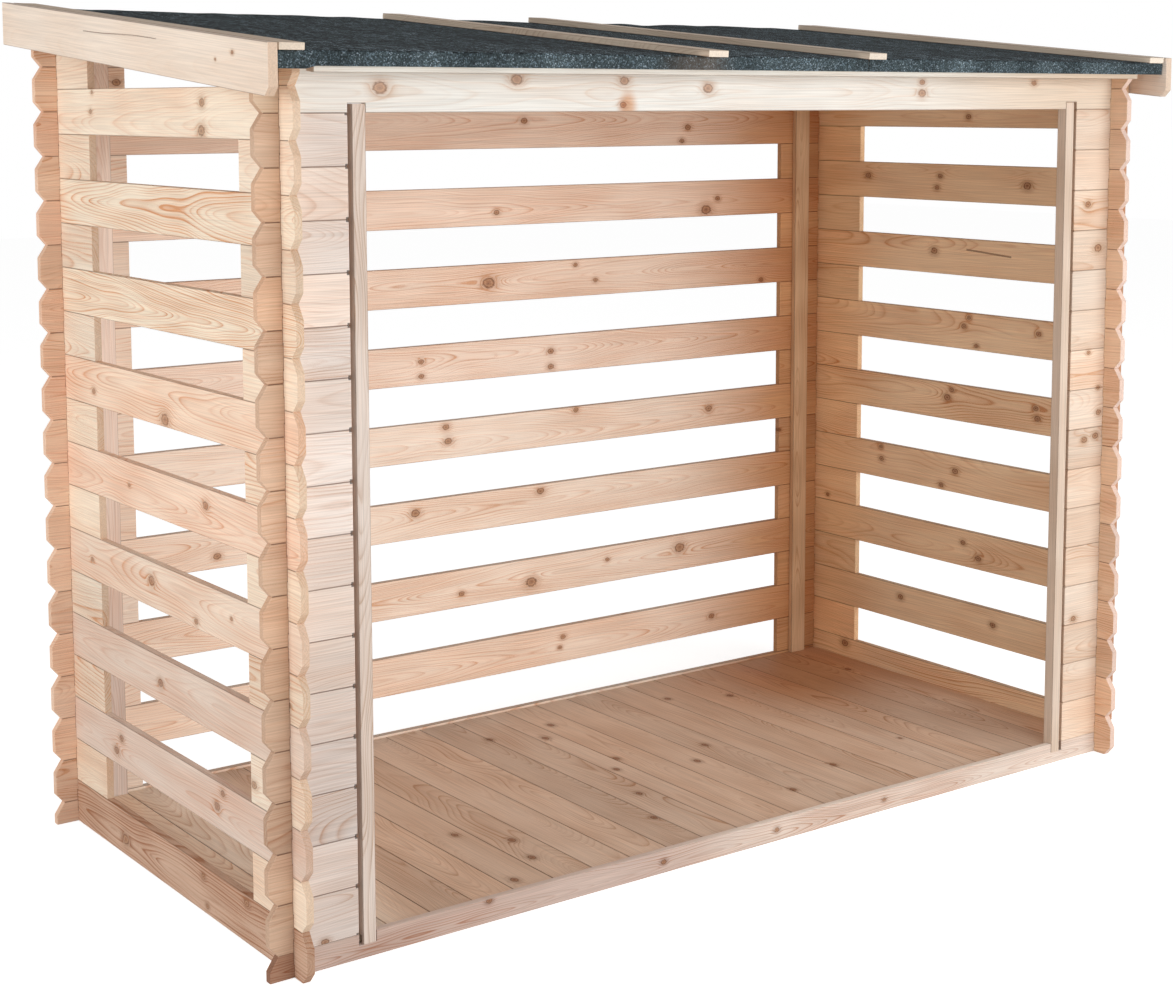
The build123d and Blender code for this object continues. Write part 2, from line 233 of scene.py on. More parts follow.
    # dirt on the planed-off edges, which draws the joints as thin dark lines
    dirt = add(tree, "Math", {0: joint, 1: joint_dirt}, operation="MULTIPLY").outputs[0]
    colour = add(tree, "Mix", {0: dirt, 6: colour, 7: linear("#6E4A34")},
                 data_type="RGBA").outputs[2]
    if painted_top_share:
        # painted light and shade on upward faces: mostly darker, as painted shade where little light
        # falls from above; on the sill paler, as a painted highlight along its top
        facing = add(tree, "NewGeometry").outputs["Normal"]
        facing = add(tree, "SeparateXYZ", {0: facing}).outputs[2]
        facing = add(tree, "MapRange", {"Value": facing, "From Min": 0.7, "From Max": 0.95,
                                        "To Max": painted_top_share}).outputs[0]
        colour = add(tree, "Mix", {0: facing, 6: colour, 7: linear(painted_top_tone)},
                     data_type="RGBA").outputs[2]
    if stub_painted_shade:
        # painted shade: the ends that stand out past a crossing wall are drawn darker and warmer, for
        # the shade and the warm light bounced between the boards in the corners beside them
        spot = add(tree, "TexCoord").outputs["Object"]
        spot = add(tree, "SeparateXYZ", {0: spot}).outputs[0]
        spot = add(tree, "Math", {0: spot}, operation="ABSOLUTE").outputs[0]
        spot = add(tree, "MapRange", {"Value": spot, "From Min": STUB_START,
                                      "From Max": STUB_FULL}).outputs[0]
        colour = add(tree, "Mix", {0: spot, 6: colour, 7: linear(stub_painted_shade)}, data_type="RGBA",
                     blend_type="MULTIPLY").outputs[2]
    for centre, share, inner, outer, shade in stains_and_painted_light:
        # an area with another tone and an uneven edge, used for marks in the wood and for painted
        # light and shade: its centre on the object, the share of each direction, how far out it is
        # full and where it ends, and the tone. Where it ends nearer than it is full, it is the area
        # around
        far = add(tree, "TexCoord").outputs["Object"]
        far = add(tree, "VectorMath", {0: far, 1: centre}, operation="SUBTRACT").outputs[0]
        far = add(tree, "VectorMath", {0: far, 1: share}, operation="MULTIPLY").outputs[0]
        far = add(tree, "VectorMath", {0: far}, operation="LENGTH").outputs["Value"]
        edge = outer - inner
        far = add(tree, "Math", {0: cloud, 1: edge * 0.5, 2: far},
                  operation="MULTIPLY_ADD").outputs[0]
        far = add(tree, "MapRange", {"Value": far, "From Min": inner + edge * 0.25,
                                     "From Max": outer + edge * 0.25, "To Min": 1.0, "To Max": 0.0},
                  interpolation_type="SMOOTHSTEP").outputs[0]
        colour = add(tree, "Mix", {0: far, 6: colour, 7: linear(shade)}, data_type="RGBA",
                     blend_type="MULTIPLY").outputs[2]
    if crack:
        # a drying crack on a side face: from one (y, z) point to another, and half its width
        (y0, z0), (y1, z1) = crack[:2]
        slope = (z1 - z0) / (y1 - y0)
        spot = add(tree, "TexCoord").outputs["Object"]
        spot = add(tree, "SeparateXYZ", {0: spot}).outputs
        rise = add(tree, "Math", {0: spot[1], 1: slope, 2: z0 - slope * y0},
                   operation="MULTIPLY_ADD").outputs[0]
        rise = add(tree, "Math", {0: wander, 1: CRACK_WANDER, 2: rise},
                   operation="MULTIPLY_ADD").outputs[0]
        near = add(tree, "Math", {0: spot[2], 1: rise, 2: crack[2]}, operation="COMPARE").outputs[0]
        inside = add(tree, "Math", {0: spot[1], 1: (y0 + y1) / 2, 2: abs(y1 - y0) / 2},
                     operation="COMPARE").outputs[0]
        inside = add(tree, "Math", {0: inside, 1: near}, operation="MULTIPLY").outputs[0]
        inside = add(tree, "Math", {0: inside, 1: CRACK_SHARE}, operation="MULTIPLY").outputs[0]
        colour = add(tree, "Mix", {0: inside, 6: colour, 7: linear("#7A5640")},
                     data_type="RGBA").outputs[2]
    if notch_shadow_within:
        # painted shadow: small dark spots in the notches where each joint of a stack meets the post
        spot = add(tree, "TexCoord").outputs["Object"]
        spot = add(tree, "SeparateXYZ", {0: spot}).outputs
        row = add(tree, "Math", {0: spot[2], 1: HALF_COURSE}, operation="SUBTRACT").outputs[0]
        row = add(tree, "Math", {0: row, 1: HALF_COURSE}, operation="PINGPONG").outputs[0]
        row = add(tree, "Math", {0: row, 1: NOTCH_SHADOW_REACH}, operation="LESS_THAN").outputs[0]
        side = add(tree, "Math", {0: spot[0]}, operation="ABSOLUTE").outputs[0]
        side = add(tree, "Math", {0: side, 1: notch_shadow_within}, operation="LESS_THAN").outputs[0]
        notch_shadow = add(tree, "Math", {0: row, 1: side}, operation="MULTIPLY").outputs[0]
        notch_shadow = add(tree, "Math", {0: notch_shadow, 1: NOTCH_SHADOW_SHARE}, operation="MULTIPLY").outputs[0]
        colour = add(tree, "Mix", {0: notch_shadow, 6: colour, 7: linear("#33231A")},
                     data_type="RGBA").outputs[2]

    streak = add(tree, "MapRange", {"Value": fibre, "From Min": 0.28, "From Max": 0.72,
                                    "To Min": 0.87, "To Max": 1.08}).outputs[0]
    tone = add(tree, "Attribute", attribute_name="tone").outputs["Vector"]
    tone = add(tree, "VectorMath", {0: tone, "Scale": streak}, operation="SCALE").outputs[0]
    colour = add(tree, "Mix", {0: 1.0, 6: colour, 7: tone}, data_type="RGBA",
                 blend_type="MULTIPLY").outputs[2]
    tree.links.new(colour, shader.inputs["Base Color"])
    bump = add(tree, "Bump", {"Height": fibre, "Strength": 0.35, "Distance": 0.0004})
    tree.links.new(bump.outputs[0], shader.inputs["Normal"])
    return material


# The felt: its granules, patches and specks, in cells a metre
GRANULE_CELLS = 460.0
PATCH_CELLS = (11, 1.3, 3)
SPECK_CELLS = (150, 42, 42)
# how much paler it is where worn, how much paler the folds are drawn as painted light,
# and the wear's reach from the front
WORN_PALER, FOLD_PAINTED_LIGHT = 1.45, 1.45
WORN_Y, FRESH_Y = -0.61, -0.36
DUST_X = -0.25


def mineral_felt(name):
    """Bitumen felt with slate granules: near black, with blue-grey and pale ones. They
    are about 1 mm wide and drawn 2 mm wide, and on the top they lie in specks of 7 by
    24 mm, as coarse as they need to be to show."""
    material, tree, shader = new_material(name, roughness=0.85)
    place = add(tree, "TexCoord").outputs["Object"]
    grit = add(tree, "TexVoronoi", {"Vector": place, "Scale": GRANULE_CELLS})
    kind = add(tree, "SeparateXYZ", {0: grit.outputs["Color"]}).outputs
    shade = add(tree, "ValToRGB", {0: kind[0]})
    shade.color_ramp.interpolation = "CONSTANT"
    first, second = shade.color_ramp.elements
    first.position, first.color = 0.0, linear("#191B1C")
    second.position, second.color = 0.35, linear("#262C2E")
    for position, colour in ((0.6, "#363F42"), (0.84, "#4C5860"), (0.95, "#6C767D")):
        shade.color_ramp.elements.new(position).color = linear(colour)
    patch = add(tree, "VectorMath", {0: place, 1: PATCH_CELLS}, operation="MULTIPLY").outputs[0]
    patch = add(tree, "TexNoise", {"Vector": patch, "Scale": 1.0, "Detail": 3.0}).outputs["Fac"]
    patch = add(tree, "MapRange", {"Value": patch, "From Min": 0.3, "From Max": 0.7,
                                   "To Min": 0.6, "To Max": 1.4}).outputs[0]
    # the specks are longer down the slope
    mottle = add(tree, "VectorMath", {0: place, 1: SPECK_CELLS}, operation="MULTIPLY").outputs[0]
    mottle = add(tree, "TexVoronoi", {"Vector": mottle, "Scale": 1.0}).outputs["Color"]
    mottle = add(tree, "SeparateXYZ", {0: mottle}).outputs[0]
    mottle = add(tree, "Math", {0: mottle, 1: 2.0}, operation="POWER").outputs[0]
    mottle = add(tree, "MapRange", {"Value": mottle, "To Min": 0.4, "To Max": 2.7}).outputs[0]
    # the felt has rubbed paler towards the front eaves; the folds, being upright, are drawn
    # paler still as painted light
    worn = add(tree, "SeparateXYZ", {0: place}).outputs[1]
    worn = add(tree, "MapRange", {"Value": worn, "From Min": WORN_Y, "From Max": FRESH_Y,
                                  "To Min": WORN_PALER, "To Max": 1.0}).outputs[0]
    patch = add(tree, "Math", {0: patch, 1: worn}, operation="MULTIPLY").outputs[0]
    facing = add(tree, "NewGeometry").outputs["Normal"]
    facing = add(tree, "SeparateXYZ", {0: facing}).outputs[2]
    facing = add(tree, "MapRange", {"Value": facing, "From Min": 0.3, "From Max": 0.9,
                                    "To Min": FOLD_PAINTED_LIGHT, "To Max": 1.0}).outputs[0]
    on_top = add(tree, "Math", {0: facing, 1: 1.2}, operation="LESS_THAN").outputs[0]
    mottle = add(tree, "Mix", {0: on_top, 2: 1.0, 3: mottle}, data_type="FLOAT").outputs[0]
    patch = add(tree, "Math", {0: patch, 1: mottle}, operation="MULTIPLY").outputs[0]
    patch = add(tree, "Math", {0: patch, 1: facing}, operation="MULTIPLY").outputs[0]
    even = add(tree, "MapRange", {"Value": on_top, "To Min": 0.3, "To Max": 0.0}).outputs[0]
    colour = add(tree, "Mix", {0: even, 6: shade.outputs[0], 7: linear("#333C3F")},
                 data_type="RGBA").outputs[2]
    # a dusty spot on the front fold
    dust = add(tree, "SeparateXYZ", {0: place}).outputs[0]
    dust = add(tree, "Math", {0: dust, 1: DUST_X}, operation="SUBTRACT").outputs[0]
    dust = add(tree, "Math", {0: dust}, operation="ABSOLUTE").outputs[0]
    dust = add(tree, "MapRange", {"Value": dust, "From Min": 0.02, "From Max": 0.11,
                                  "To Min": 0.4, "To Max": 0.0},
               interpolation_type="SMOOTHSTEP").outputs[0]
    on_fold = add(tree, "Math", {0: 1.0, 1: on_top}, operation="SUBTRACT").outputs[0]
    dust = add(tree, "Math", {0: dust, 1: on_fold}, operation="MULTIPLY").outputs[0]
    colour = add(tree, "Mix", {0: dust, 6: colour, 7: linear("#564B42")},
                 data_type="RGBA").outputs[2]
    colour = add(tree, "HueSaturation", {"Color": colour, "Value": patch}).outputs[0]
    tree.links.new(colour, shader.inputs["Base Color"])
    shader.inputs["Specular IOR Level"].default_value = 0.05
    bump = add(tree, "Bump", {"Height": grit.outputs["Distance"], "Strength": 0.6,
                              "Distance": 0.001})
    tree.links.new(bump.outputs[0], shader.inputs["Normal"])
    return material


side_spruce = spruce("planed_spruce_side_walls", "#FAE7D0", "#DA9A6E", "#B88F6C", ring_mm=5.4,
                     figure=0.95, lanes=4, knot_share=0.74)
# painted shade: the front blocks are drawn darker towards the bottom
front_spruce = spruce("planed_spruce_front_blocks", "#F3E3D7", "#D2AB92", "#B48A6C", figure=0.9,
                      end_share=0.1, stub_painted_shade="#F0D9C3", notch_shadow_within=0.988,
                      stains_and_painted_light=(((0, 0, 0), (0, 0, 1), 0.175, 0.875, "#E7E9EC"),))
right_front_spruce = spruce("planed_spruce_right_front_blocks", "#EAD5C1", "#CD9B76", "#AE8058",
                            figure=0.75, end_share=0.2, stub_painted_shade="#D3AF98", joint_dirt=0.4)
pale_spruce = spruce("planed_spruce_lintel", "#ECEAE4", "#D8C4B2", "#BC967A", figure=0.6, lanes=8,
                     stub_painted_shade="#F0D9C3", knot_share=0.72,
                     stains_and_painted_light=(((-0.35, 0, 1.596), (1, 0, 0.7), 0.006, 0.03, "#EAC3A8"),
                             ((1.15, 0, 0), (1, 0, 0), 0.18, 0.88, "#F0DFCF")))
sill_spruce = spruce("planed_spruce_sill", "#E7D7CA", "#BE9075", "#7E563E", ring_mm=5.0,
                     figure=0.75, lanes=4, stub_painted_shade="#DCC3AE", joint_dirt=0.1, painted_top_share=0.8,
                     painted_top_tone="#FFF4E8",
                     stains_and_painted_light=(((-1.2, 0, 0), (1, 0, 0), 0.85, 1.3, "#E3DAD9"),))
base_spruce = spruce("planed_spruce_base_boards", "#D4B39B", "#A06844", "#8A5E40", ring_mm=6.4,
                     figure=1.2, lanes=4)
# painted shade: the back wall is drawn darker and more orange in its right rear corner
back_spruce = spruce("planed_spruce_back_wall", "#FCEBDA", "#DBA883", "#B8845C", ring_mm=5.0,
                     figure=1.1, lanes=4, end_share=0.12, painted_top_share=0.3, stub_painted_shade="#FFEFE4",
                     stains_and_painted_light=(((1.13, 0.5, 0), (1, 1, 0), 0.12, 0.6, "#CDA57E"),))
# painted light and shade: the right wall is drawn darker in its rear corner and on the ends that stand
# out at the front, and its sawn ends are drawn pale, as painted light on the ends turned to the front
right_spruce = spruce("planed_spruce_right_wall", "#F7D8B4", "#CC8F62", "#9C6438", ring_mm=5.0,
                      figure=1.0, lanes=4, painted_top_share=0.35, end_share=0.8, end_shade="#F0DDCC",
                      knot_share=1.0,
                      stains_and_painted_light=(((1.13, 0.5, 0), (1, 1, 0), 0.065, 0.325, "#FFF1E0"),
                              ((1.11, -0.62, 0), (0, 1, 0), 0.085, 0.11, "#F7EEF1")),
                      crack=((-0.063, 1.221), (-0.217, 1.211), 0.0022))
corner_spruce = spruce("planed_spruce_corner_battens", "#D6B28E", "#AE7D54", "#8C5A34",
                       ring_mm=3.6, figure=0.8)
# painted light and shade: the floor is drawn darker towards its far right corner, and lighter near the
# left wall by darkening the rest
floor_spruce = spruce("planed_spruce_floor", "#FDECD9", "#CEA37E", "#9C7454", ring_mm=3.8,
                      figure=0.8, end_share=0.1, joint_dirt=0.5,
                      stains_and_painted_light=(((0.88, 0.34, 0), (1, 1, 0), 0.1, 0.5, "#DAB899"),
                              ((-1.12, 0.1, 0), (1, 0.35, 0), 0.37, 0.27, "#EADED7")))
post_spruce = spruce("planed_spruce_left_post", "#E6D5C8", "#BF9F86", "#A07C60", ring_mm=3.2,
                     figure=0.8)
right_post_spruce = spruce("planed_spruce_right_post", "#E2CDBA", "#BC9673", "#A07C60",
                           ring_mm=3.2, figure=0.8)
barge_spruce = spruce("planed_spruce_bargeboards", "#FCEBDA", "#EFCDB0", "#BC9068", figure=0.5,
                      lanes=4, painted_top_share=0.5, crack=((0.171, 1.748), (-0.177, 1.721), 0.0009))
batten_spruce = spruce("sawn_spruce_roof_battens", "#E4D0BA", "#B89A80", "#C8AA8C", ring_mm=3.0,
                       figure=0.8, end_share=0.85, end_shade="#EEDFCD", painted_top_share=0.32)
roof_spruce = spruce("sawn_spruce_roof_boards", "#E3C7A8", "#BE9068", "#9A6B45", figure=0.8)
felt = mineral_felt("slate_granule_felt")


# ------------------------------------------------------------------- boards

# Knots, in mm in the wall's own plane: place along the grain, across it, radius
LEFT_WALL_KNOTS = (
    (-210, 1603, 8), (-206, 1550, 10), (314, 1625, 4), (324, 1585, 5), (-10, 975, 12), (348, 992, 6),
    (-188, 830, 8), (174, 815, 4), (-290, 628, 4), (-134, 590, 6), (74, 632, 10), (382, 620, 5),
    (42, 425, 8), (-236, 270, 6), (-210, 237, 8), (250, 255, 7), (278, 222, 8), (-330, 80, 7),
    (-140, 73, 6), (242, 35, 11), (-156, 17, 5),
)
BACK_WALL_KNOTS = (
    (17, 1329, 6), (695, 1314, 12), (735, 1343, 6), (-8, 1153, 13), (324, 1143, 5), (260, 1186, 5),
    (892, 1114, 6), (-208, 969, 6), (-208, 933, 6), (181, 967, 7), (181, 927, 7), (700, 964, 8),
    (-138, 800, 7), (-132, 764, 8), (260, 807, 6), (707, 771, 8), (-229, 593, 9), (147, 606, 8),
    (-766, 557, 7), (-96, 371, 6), (117, 371, 12), (362, 397, 5), (607, 397, 12), (902, 386, 9),
    (217, 210, 6), (207, 183, 5), (721, 189, 7), (102, 1557, 7), (631, 1536, 7), (610, 1500, 6),
)
RIGHT_WALL_KNOTS = (
    (-265, 1392, 9), (35, 1408, 6), (46, 1378, 6), (304, 1403, 7), (298, 1361, 6), (52, 1211, 8),
    (-313, 1022, 6), (-59, 1020, 6), (-76, 1044, 5), (-104, 972, 5), (318, 1022, 7), (313, 983, 7),
    (-315, 808, 7), (-309, 833, 6), (-4, 826, 8), (-20, 848, 6), (-9, 791, 6), (271, 852, 7),
    (274, 792, 6), (-37, 633, 7), (13, 589, 6), (241, 661, 5), (238, 628, 6), (-70, 447, 6),
    (-124, 414, 7), (-179, 247, 7), (157, 256, 7), (374, 80, 9), (-62, 1564, 6),
)
FRONT_WALL_KNOTS = (
    (-914, 1629, 11), (-614, 1645, 10), (-358, 1644, 8), (-361, 1597, 6), (-144, 1630, 9),
    (468, 1645, 6), (468, 1621, 8), (832, 1645, 6), (1071, 1252, 9), (1031, 1358, 7),
    (1046, 1000, 5), (1084, 912, 5), (-690, 44, 5), (-254, 24, 5), (59, 25, 5), (383, 26, 4),
)
FLOOR_KNOTS = (
    (341, 62, 8), (262, -9, 8), (345, 441, 7), (334, -126, 7), (-170, -548, 7), (-268, -466, 8),
    (-375, -488, 8), (-455, -586, 8), (-12, 274, 7), (-30, -9, 7), (34, 38, 7), (41, 92, 7),
    (-195, -69, 7), (-252, 38, 7), (-306, 424, 7), (-328, 471, 7), (-381, 231, 7), (-338, -138, 7),
    (270, 1017, 7), (270, 592, 7),
)

BARGEBOARD_KNOTS = ((-266, 1711, 2.5), (-332, 1728, 3.5))

# Boards whose figure and tone are chosen, from the top one down: the tree's pith across
# the board and below its face in mm, its lean along the board, the figure's strength, and
# the tone's red, green and blue
# the left wall's lower slats have darker tones, painted shade towards the bottom
LEFT_SLAT_FIGURES = (
    (-20, 30, 0.06, 0.45, (1.03, 1.06, 1.08)), (5, 18, 0.09, 1.4, (1.0, 1.02, 1.02)),
    (-10, 16, -0.08, 1.5, (1.0, 1.01, 1.0)), (15, 25, 0.06, 0.9, (1.03, 0.94, 0.91)),
    (-15, 20, -0.07, 0.8, (1.03, 0.93, 0.91)), (10, 30, 0.06, 0.7, (0.96, 0.92, 0.93)),
    (0, 25, 0.05, 0.45, (0.85, 0.82, 0.86)), (-10, 22, 0.05, 0.45, (0.84, 0.81, 0.86)),
)
# the back wall's slat tones get lighter downwards, painting the light inside the store: darker under
# the roof, lighter low down
BACK_SLAT_FIGURES = (
    (20, 22, 0.06, 1.0, (0.95, 0.89, 0.87)), (-10, 18, 0.05, 0.9, (0.98, 0.92, 0.9)),
    (5, 16, -0.06, 1.3, (0.97, 0.92, 0.9)), (10, 20, 0.07, 1.1, (1.01, 0.98, 0.98)),
    (-15, 25, 0.05, 0.8, (1.04, 1.05, 1.06)), (10, 22, 0.06, 0.9, (1.04, 1.04, 1.04)),
    (0, 18, -0.06, 1.2, (1.04, 1.04, 1.04)), (-8, 20, 0.05, 0.9, (1.03, 1.0, 0.98)),
)
PLAIN = ((-10, 24, 0.02, 0.8, (1.0, 1.0, 1.0)),)
DULL = ((-10, 24, 0.02, 0.8, (0.9, 0.87, 0.83)),)
# BRIGHT is painted light on the left corner batten, seen through the left wall's openings
BRIGHT = ((-10, 24, 0.02, 0.8, (1.09, 1.09, 1.09)),)
BOLD = ((-8, 12, 0.04, 1.4, (1.0, 1.0, 1.0)),)

# Merging the CAD's triangles back into whole faces, in metres and radians
SAME_POINT, SAME_PLANE = 0.00002, math.radians(0.5)
# a knot just past a board's edge still shows on it, and a lane without one points far away
KNOT_MARGIN = 0.01
NO_KNOT = (50.0, 0.0, 0.001)
# how far a face looks along a direction to be a sawn end, a long face or a flat one
END_FACING, LONG_FACING, FLAT_FACING = 0.6, 0.2, 0.97

# gives each board a number, and with it a noise of its own
boards_made = 0


def islands(mesh):
    """The vertices of each separate board in a mesh."""
    leader = list(range(len(mesh.vertices)))

    def find(v):
        while leader[v] != v:
            leader[v] = leader[leader[v]]
            v = leader[v]
        return v

    for edge in mesh.edges:
        a, b = find(edge.vertices[0]), find(edge.vertices[1])
        if a != b:
            leader[max(a, b)] = min(a, b)
    groups = {}
    for v in range(len(mesh.vertices)):
        groups.setdefault(find(v), []).append(v)
    return list(groups.values())


def timber(node, axes, material, knots=(), spare_knots=0.0, edge_mm=1.2, lean=0.09,
           figures=(), ends=1.0):
    """Stands for a CAD node of boards: the same boards with planed-off edges, each
    with its own figure. Axes are the grain's direction, across it and the thickness.
    Spare knots are the chance of one more knot, lean how far the pith may lean, and
    ends how much a sawn end takes of its own tone."""
    global boards_made
    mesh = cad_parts[node].data.copy()
    piece = bpy.data.objects.new(node + "_timber", mesh)
    bpy.context.scene.collection.objects.link(piece)
    bpy.ops.object.select_all(action="DESELECT")
    piece.select_set(True)
    bpy.context.view_layer.objects.active = piece
    bpy.ops.object.mode_set(mode="EDIT")
    bpy.ops.mesh.select_all(action="SELECT")
    bpy.ops.mesh.remove_doubles(threshold=SAME_POINT)
    bpy.ops.mesh.dissolve_limited(angle_limit=SAME_PLANE)
    bpy.ops.object.mode_set(mode="OBJECT")
    eased = piece.modifiers.new("eased_edges", "BEVEL")
    eased.width, eased.segments = edge_mm / 1000, 2
    eased.limit_method, eased.angle_limit = "ANGLE", math.radians(25)
    bpy.ops.object.modifier_apply(modifier=eased.name)

    along, across, depth = axes
    mesh = piece.data
    grain = [None] * len(mesh.vertices)
    board = [0.0] * len(mesh.vertices)
    lanes = [[NO_KNOT] * len(mesh.vertices) for _ in KNOT_LANES]
    pith = [None] * len(mesh.vertices)
    tone = [None] * len(mesh.vertices)
    strong = [0.0] * len(mesh.vertices)
    luck = random.Random(node)
    groups = islands(mesh)
    groups.sort(key=lambda group: -mesh.vertices[group[0]].co.dot(across))
    for number, group in enumerate(groups):
        boards_made += 1
        light, warm = luck.uniform(0.88, 1.05), luck.uniform(-0.03, 0.03)
        heart = (luck.uniform(-55, 55), luck.uniform(14, 60), luck.uniform(-lean, lean),
                 luck.uniform(0.3, 1.3), (light * (1 + warm), light, light * (1 - warm)))
        if number < len(figures):
            heart = figures[number]
        points = [(mesh.vertices[v].co.dot(along), mesh.vertices[v].co.dot(across),
                   mesh.vertices[v].co.dot(depth)) for v in group]
        low = [min(p[i] for p in points) for i in range(3)]
        high = [max(p[i] for p in points) for i in range(3)]
        middle = [(low[i] + high[i]) / 2 for i in range(3)]
        own = [k for k in knots if low[0] - KNOT_MARGIN < k[0] / 1000 < high[0] + KNOT_MARGIN
               and low[1] - KNOT_MARGIN < k[1] / 1000 < high[1] + KNOT_MARGIN]
        while luck.random() < spare_knots and len(own) < 2:
            own.append((1000 * luck.uniform(low[0], high[0]), 1000 * luck.uniform(low[1], high[1]),
                        luck.uniform(4, 8)))
        for v, p in zip(group, points):
            grain[v] = [p[i] - middle[i] for i in range(3)]
            board[v] = float(boards_made)
            pith[v] = (heart[0] / 1000, heart[1] / 1000, heart[2])
            strong[v] = heart[3]
            tone[v] = heart[4]
            for lane, knot in zip(lanes, own):
                lane[v] = (knot[0] / 1000 - middle[0], knot[1] / 1000 - middle[1], knot[2] / 1000)
    for name, values in (("grain", grain), ("pith", pith), ("tone", tone), *zip(KNOT_LANES, lanes)):
        flat = [number for vector in values for number in vector]
        mesh.attributes.new(name, "FLOAT_VECTOR", "POINT").data.foreach_set("vector", flat)
    mesh.attributes.new("board", "FLOAT", "POINT").data.foreach_set("value", board)
    mesh.attributes.new("strong_figure", "FLOAT", "POINT").data.foreach_set("value", strong)
    sawn = [ends if abs(face.normal.dot(along)) > END_FACING else 0.0 for face in mesh.polygons]
    mesh.attributes.new("sawn_end", "FLOAT", "FACE").data.foreach_set("value", sawn)
    planed_off = [
        1.0 if abs(face.normal.dot(along)) < LONG_FACING
        and max(abs(face.normal.dot(across)), abs(face.normal.dot(depth))) < FLAT_FACING else 0.0
        for face in mesh.polygons
    ]
    mesh.attributes.new("eased_edge", "FLOAT", "FACE").data.foreach_set("value", planed_off)
    mesh.materials.clear()
    mesh.materials.append(material)
    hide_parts(node)
    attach(piece, "root")


front_axes, side_axes, floor_axes = (X, Z, Y), (Y, Z, X), (Y, X, Z)
upright_axes, joist_axes = (Z, X, Y), (X, Y, Z)
rafter_axes, barge_axes = (ROOF_RUN, X, ROOF_UP), (ROOF_RUN, ROOF_UP, X)
eaves_axes = (X, ROOF_RUN, ROOF_UP)

timber("front_sill", front_axes, sill_spruce, FRONT_WALL_KNOTS, figures=BOLD)
timber("front_lintel", front_axes, pale_spruce, FRONT_WALL_KNOTS, figures=PLAIN)
for side, block_wood, post_wood, batten_wood, base_wood, wood, knots in (
    ("left", front_spruce, post_spruce, front_spruce, base_spruce, side_spruce, LEFT_WALL_KNOTS),
    ("right", right_front_spruce, right_post_spruce, corner_spruce, right_spruce, right_spruce,
     RIGHT_WALL_KNOTS),
):
    for row in ("odd", "even"):
        timber(f"front_{side}_blocks_{row}", front_axes, block_wood, FRONT_WALL_KNOTS,
               0.12, edge_mm=1.4)
    timber(f"{side}_front_post", upright_axes, post_wood)
    timber(f"{side}_corner_batten", upright_axes, batten_wood,
           figures=BRIGHT if side == "left" else PLAIN)
    timber(f"back_wall_{side}_blocks", front_axes, back_spruce, BACK_WALL_KNOTS, 0.15)
    timber(f"{side}_base_board", side_axes, base_wood, knots, figures=BOLD)
    for part in ("wall_slats", "wall_front_blocks", "wall_rear_blocks", "wall_top_wedge"):
        timber(f"{side}_{part}", side_axes, wood, knots,
               0.1 if "blocks" in part else 0.0, lean=0.14 if side == "left" else 0.07,
               figures=LEFT_SLAT_FIGURES if (side, part) == ("left", "wall_slats") else (),
               ends=0.0 if (side, part) == ("right", "wall_rear_blocks") else 1.0)
    timber(f"{side}_bargeboard", barge_axes, barge_spruce, BARGEBOARD_KNOTS)
    timber(f"{side}_edge_roof_batten", rafter_axes, batten_spruce)
    timber(f"{side}_joint_roof_batten", rafter_axes, batten_spruce)
timber("back_wall_slats", front_axes, back_spruce, BACK_WALL_KNOTS,
       figures=BACK_SLAT_FIGURES)
for part in ("back_sill", "back_top_board"):
    timber(part, front_axes, back_spruce, BACK_WALL_KNOTS)
for row in ("odd", "even"):
    timber(f"floor_boards_{row}", floor_axes, floor_spruce, FLOOR_KNOTS, 0.3,
           edge_mm=1.3)
    timber(f"roof_boards_{row}", rafter_axes, roof_spruce, spare_knots=0.5,
           edge_mm=0.6)
timber("floor_joists", joist_axes, roof_spruce, spare_knots=0.4)
for end in ("front", "rear"):
    timber(f"{end}_eaves_batten", eaves_axes, pale_spruce, figures=DULL)


# --------------------------------------------------------------------- felt

# The felt's top face along ROOF_UP, its ends along ROOF_RUN, and what is folded down
FELT_TOP, FELT_FRONT, FELT_REAR, FOLD = 1.74202, -0.45444, 0.77691, 0.027
FELT_THICKNESS = 0.0025
FOLD_ROUNDING = 0.005
FOLD_ROWS = 3
MESH_CELL, MESH_ROWS = 0.02, 50
ON_LINE = 0.0005
# the battens' middles, how far from one the felt lies flat, and how much farther it is
# fully loose
BATTEN_MIDDLES = (-1.1445, -0.216, 0.216, 1.1445)
FLAT_REACH, LOOSE_REACH = 0.03, 0.09
# the waves: their height, their share between the eaves, and how far from the rear
# and the front edge that share changes
WAVE_HEIGHT, WAVE_SHARE = 0.011, 0.3
REAR_REACH, FRONT_REACH = 0.14, 0.1
# past the end of the eaves batten the left strip's fold hangs a little lower
EAVES_BATTEN_END, LOWER_BY = -1.094, 0.005

waves = bpy.data.textures.new("felt_waves", "CLOUDS")
waves.noise_scale, waves.noise_depth = 0.16, 1


def pick(mesh, wanted):
    """Selects the vertices that a test wants, in object mode, for edit mode."""
    for face in mesh.polygons:
        face.select = False
    for edge in mesh.edges:
        edge.select = False
    for vertex in mesh.vertices:
        vertex.select = wanted(vertex.co)
    for edge in mesh.edges:
        edge.select = all(mesh.vertices[v].select for v in edge.vertices)


